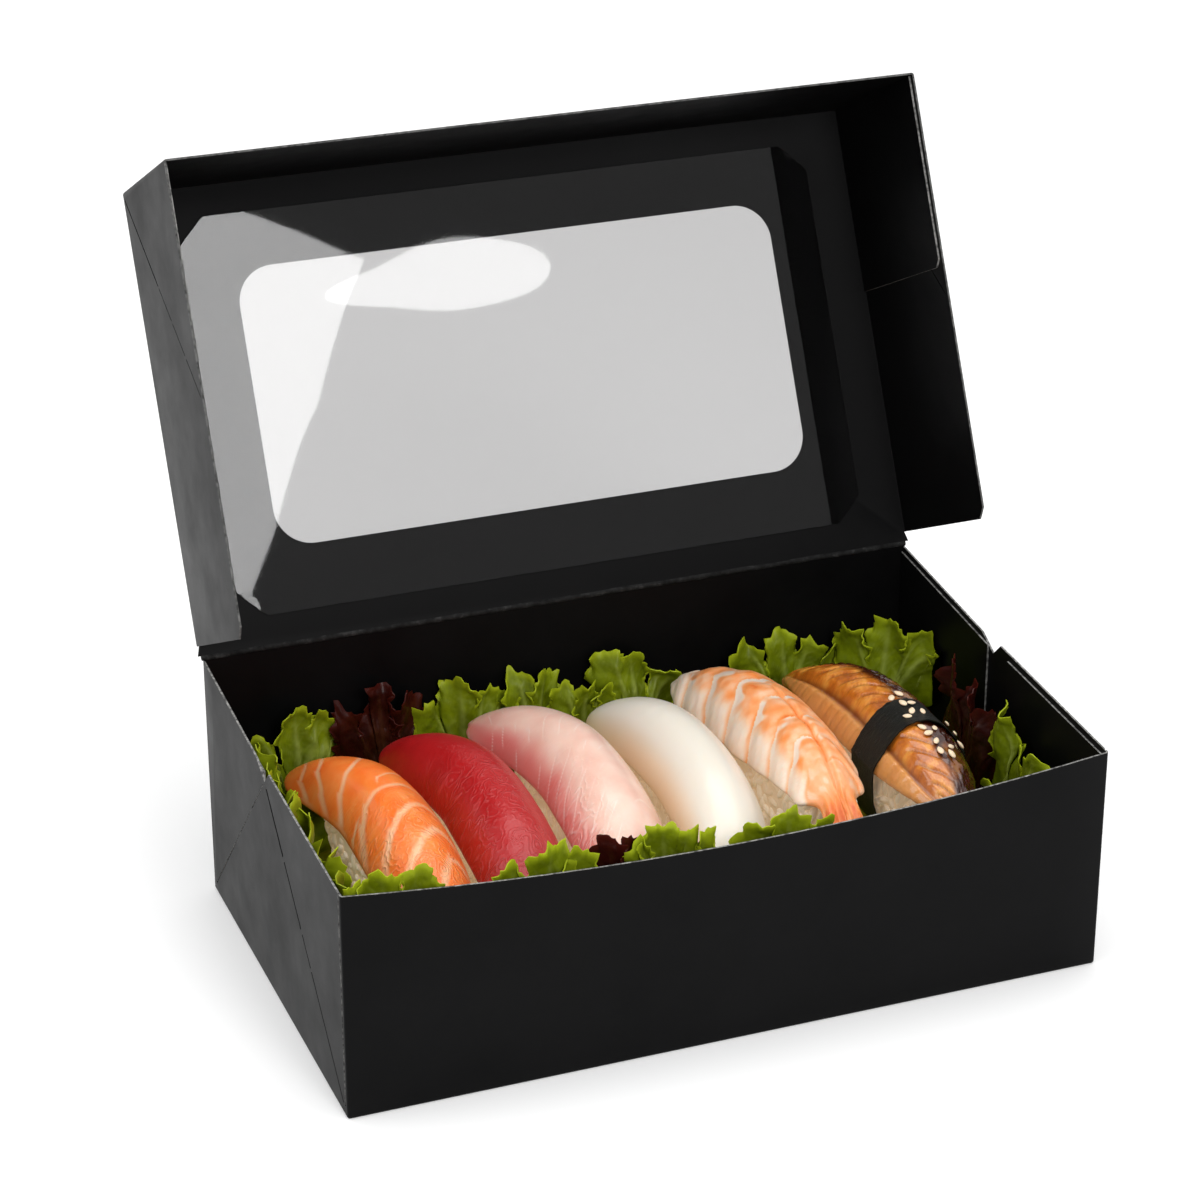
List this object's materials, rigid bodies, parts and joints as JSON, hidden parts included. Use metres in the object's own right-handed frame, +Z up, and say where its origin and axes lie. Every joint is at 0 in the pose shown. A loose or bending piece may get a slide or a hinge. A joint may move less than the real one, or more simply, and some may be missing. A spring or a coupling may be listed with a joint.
{
  "type": "takeaway sushi tray",
  "caption": "Folded black card takeaway box with a hinged windowed lid, standing open over nigiri sushi laid on green and red lettuce.",
  "frame": {"origin": "centre of the flat underside of the tray", "axes": "+X along the tray's length to the eel end, +Y to the hinge side, +Z up"},
  "size_m": [0.201, 0.1736, 0.1987],
  "materials": {
    "black_card": "satin coated black board, pale grey at its cut edges",
    "window_film": "clear glossy film",
    "rice": "moist cooked rice",
    "salmon": "moist orange fish with pale bands",
    "tuna": "moist deep red fish",
    "yellowtail": "moist pale pink fish",
    "squid": "smooth creamy white",
    "prawn": "cooked prawn, white with orange bands",
    "eel": "grilled and glazed brown",
    "nori": "dark roasted seaweed with a satin sheen",
    "green_leaf": "fresh frilled leaf",
    "red_leaf": "fresh dark red leaf"
  },
  "bodies": {
    "box": {"tray": "black_card", "lettuce_bed": "green_leaf", "nori_band": "nori", "rice_salmon": "rice", "rice_tuna": "rice", "rice_yellowtail": "rice", "rice_squid": "rice", "rice_prawn": "rice", "rice_eel": "rice", "topping_salmon": "salmon", "topping_tuna": "tuna", "topping_yellowtail": "yellowtail", "topping_squid": "squid", "topping_prawn": "prawn", "topping_eel": "eel", "leaf_back_corner_left": "green_leaf", "leaf_back_a": "green_leaf", "leaf_back_b": "green_leaf", "leaf_back_c": "green_leaf", "leaf_back_d": "green_leaf", "leaf_back_e": "green_leaf", "leaf_back_corner_right": "green_leaf", "leaf_right": "green_leaf", "leaf_left_back": "green_leaf", "leaf_left_front": "green_leaf", "leaf_front_corner_left": "green_leaf", "leaf_front_a": "green_leaf", "leaf_front_b": "green_leaf", "leaf_front_c": "green_leaf", "leaf_back_red": "red_leaf", "leaf_right_red": "red_leaf", "leaf_front_red": "red_leaf"},
    "lid": {"lid": "black_card", "window_film": "window_film"}
  },
  "joints": [
    {"name": "lid_hinge", "type": "hinge", "parent": "box", "child": "lid", "pos_m": [0, 0.059, 0.0677], "axis": [1, 0, 0], "range_deg": [-60, 116.6]}
  ]
}
